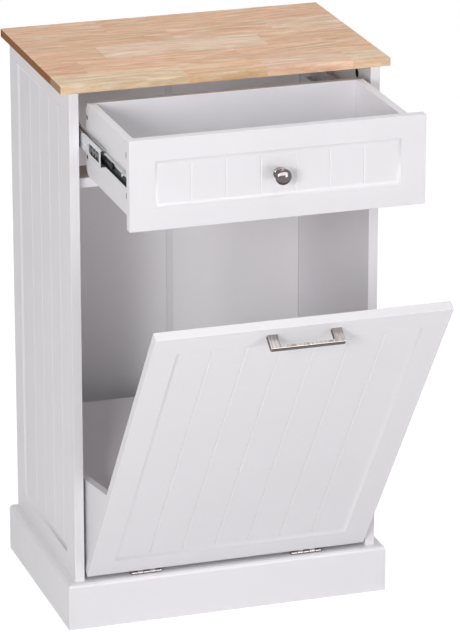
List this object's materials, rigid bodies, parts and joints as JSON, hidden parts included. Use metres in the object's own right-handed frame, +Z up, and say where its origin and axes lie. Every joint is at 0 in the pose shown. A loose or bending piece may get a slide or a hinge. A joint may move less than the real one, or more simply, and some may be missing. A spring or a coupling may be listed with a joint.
{
  "type": "trash bin cabinet",
  "caption": "Freestanding kitchen cabinet with a wooden worktop, a drawer on ball slides and a tilt-out door that carries a tray for a waste bin.",
  "frame": {"origin": "on the floor, at the middle of the front skirting board's underside", "axes": "+Z up, +X to the right seen from the front, +Y to the back; the fronts face -Y"},
  "size_m": [0.508, 0.7075, 0.853],
  "materials": {
    "white_paint": "painted MDF, satin white",
    "panel_white": "thin fibreboard, white film inside and bare brown outside",
    "rubberwood": "solid rubberwood staves, clear lacquer",
    "beech": "bare beech dowels with fluted sides",
    "seam_plastic": "white extruded plastic",
    "nickel": "brushed nickel plate",
    "polished_nickel": "polished nickel plate",
    "zinc_steel": "bright zinc plated sheet steel",
    "dark_steel": "dark zinc plated sheet steel",
    "cam_alloy": "die-cast zinc alloy",
    "fastener_steel": "zinc plated steel",
    "black_plastic": "moulded black plastic"
  },
  "bodies": {
    "cabinet": {"top_board": "rubberwood", "left_side_panel": "white_paint", "right_side_panel": "white_paint", "bottom_panel": "white_paint", "left_back_panel": "panel_white", "right_back_panel": "panel_white", "back_seam_strip": "seam_plastic", "drawer_rail": "white_paint", "front_skirting": "white_paint", "left_skirting": "white_paint", "right_skirting": "white_paint", "carcass_dowels": "beech", "carcass_cam_locks": "cam_alloy", "carcass_cam_bolts": "fastener_steel", "skirting_screws": "fastener_steel", "back_panel_nails": "fastener_steel", "left_slide_cabinet_member": "zinc_steel", "right_slide_cabinet_member": "zinc_steel", "slide_screws_in_sides": "fastener_steel", "left_hinge_lower_leaf": "nickel", "right_hinge_lower_leaf": "nickel", "hinge_pins": "fastener_steel", "hinge_screws_in_floor": "fastener_steel"},
    "drawer": {"drawer_front": "white_paint", "left_drawer_side": "white_paint", "right_drawer_side": "white_paint", "drawer_back": "white_paint", "drawer_bottom": "panel_white", "drawer_cam_locks": "cam_alloy", "drawer_cam_bolts": "fastener_steel", "drawer_back_screws": "fastener_steel", "drawer_knob": "polished_nickel", "knob_screw": "fastener_steel", "left_slide_drawer_member": "dark_steel", "right_slide_drawer_member": "dark_steel", "slide_screws_in_drawer": "fastener_steel"},
    "door": {"door_panel": "white_paint", "door_pull": "nickel", "pull_screws": "fastener_steel", "left_tray_cheek": "white_paint", "right_tray_cheek": "white_paint", "bin_tray": "white_paint", "tray_screws": "fastener_steel", "door_dowels": "beech", "left_hinge_door_leaf": "nickel", "right_hinge_door_leaf": "nickel", "hinge_screws_in_door": "fastener_steel"},
    "left_middle_member": {"left_slide_middle_member": "zinc_steel"},
    "left_outer_cage": {"left_slide_outer_cage": "zinc_steel"},
    "left_inner_cage": {"left_slide_inner_cage": "zinc_steel"},
    "left_release_lever": {"left_slide_release_lever": "black_plastic"},
    "right_middle_member": {"right_slide_middle_member": "zinc_steel"},
    "right_outer_cage": {"right_slide_outer_cage": "zinc_steel"},
    "right_inner_cage": {"right_slide_inner_cage": "zinc_steel"},
    "right_release_lever": {"right_slide_release_lever": "black_plastic"}
  },
  "joints": [
    {"name": "drawer_slide", "type": "slide", "parent": "cabinet", "child": "drawer", "axis": [0, -1, 0], "range_m": [-0.244, 0]},
    {"name": "door_tilt", "type": "hinge", "parent": "cabinet", "child": "door", "pos_m": [0, 0.0046, 0.0755], "axis": [1, 0, 0], "range_deg": [-36, 0]},
    {"name": "left_middle_member_slide", "type": "slide", "parent": "cabinet", "child": "left_middle_member", "axis": [0, -1, 0], "range_m": [-0.122, 0]},
    {"name": "left_outer_cage_slide", "type": "slide", "parent": "cabinet", "child": "left_outer_cage", "axis": [0, -1, 0], "range_m": [-0.061, 0]},
    {"name": "left_inner_cage_slide", "type": "slide", "parent": "cabinet", "child": "left_inner_cage", "axis": [0, -1, 0], "range_m": [-0.183, 0]},
    {"name": "right_middle_member_slide", "type": "slide", "parent": "cabinet", "child": "right_middle_member", "axis": [0, -1, 0], "range_m": [-0.122, 0]},
    {"name": "right_outer_cage_slide", "type": "slide", "parent": "cabinet", "child": "right_outer_cage", "axis": [0, -1, 0], "range_m": [-0.061, 0]},
    {"name": "right_inner_cage_slide", "type": "slide", "parent": "cabinet", "child": "right_inner_cage", "axis": [0, -1, 0], "range_m": [-0.183, 0]},
    {"name": "left_lever_press", "type": "hinge", "parent": "drawer", "child": "left_release_lever", "pos_m": [-0.2158, -0.131, 0.768], "axis": [1, 0, 0], "range_deg": [-5, 0], "stiffness_Nm_per_rad": 0.02},
    {"name": "right_lever_press", "type": "hinge", "parent": "drawer", "child": "right_release_lever", "pos_m": [0.2158, -0.131, 0.768], "axis": [1, 0, 0], "range_deg": [0, 5], "stiffness_Nm_per_rad": 0.02}
  ],
  "couplings": [
    {"joint": "left_middle_member_slide", "follows": "drawer_slide", "ratio": 0.5},
    {"joint": "left_outer_cage_slide", "follows": "drawer_slide", "ratio": 0.25},
    {"joint": "left_inner_cage_slide", "follows": "drawer_slide", "ratio": 0.75},
    {"joint": "right_middle_member_slide", "follows": "drawer_slide", "ratio": 0.5},
    {"joint": "right_outer_cage_slide", "follows": "drawer_slide", "ratio": 0.25},
    {"joint": "right_inner_cage_slide", "follows": "drawer_slide", "ratio": 0.75}
  ]
}
